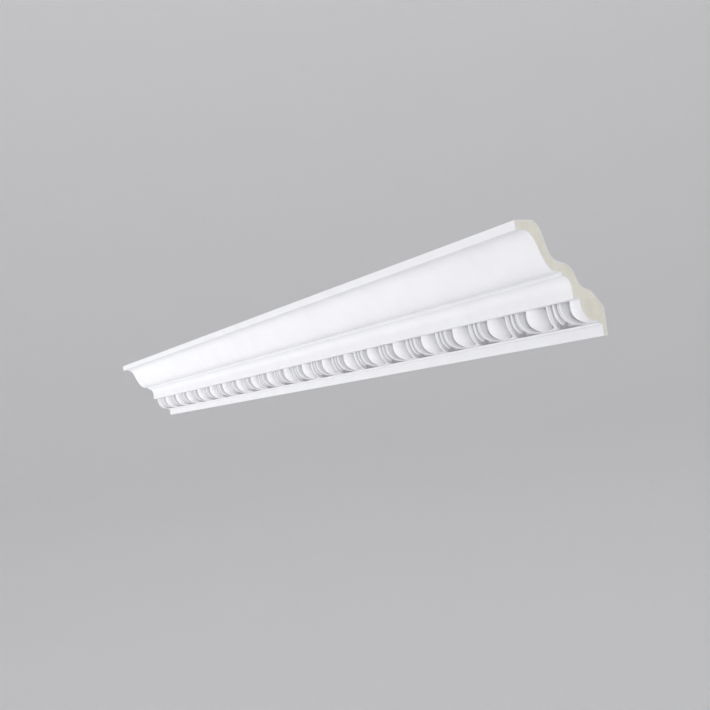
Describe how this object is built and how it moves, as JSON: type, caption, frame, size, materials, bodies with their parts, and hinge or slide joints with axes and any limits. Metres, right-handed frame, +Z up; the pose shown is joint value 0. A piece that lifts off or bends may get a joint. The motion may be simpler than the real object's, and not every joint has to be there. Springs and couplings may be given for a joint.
{
  "type": "cornice moulding length",
  "caption": "Straight length of white moulded cornice with an egg-and-dart band under a cove and a cyma, hollow at the back and sawn square at both ends.",
  "frame": {"origin": "middle of the strip that is glued to the wall, half way along the length", "axes": "+X along the length towards the sawn end that shows, +Y into the wall, +Z up to the ceiling"},
  "size_m": [1.3, 0.098, 0.115],
  "materials": {
    "primed_foam": "matte white primer on moulded rigid foam"
  },
  "bodies": {
    "root": {"cornice_length": "primed_foam"}
  },
  "joints": []
}
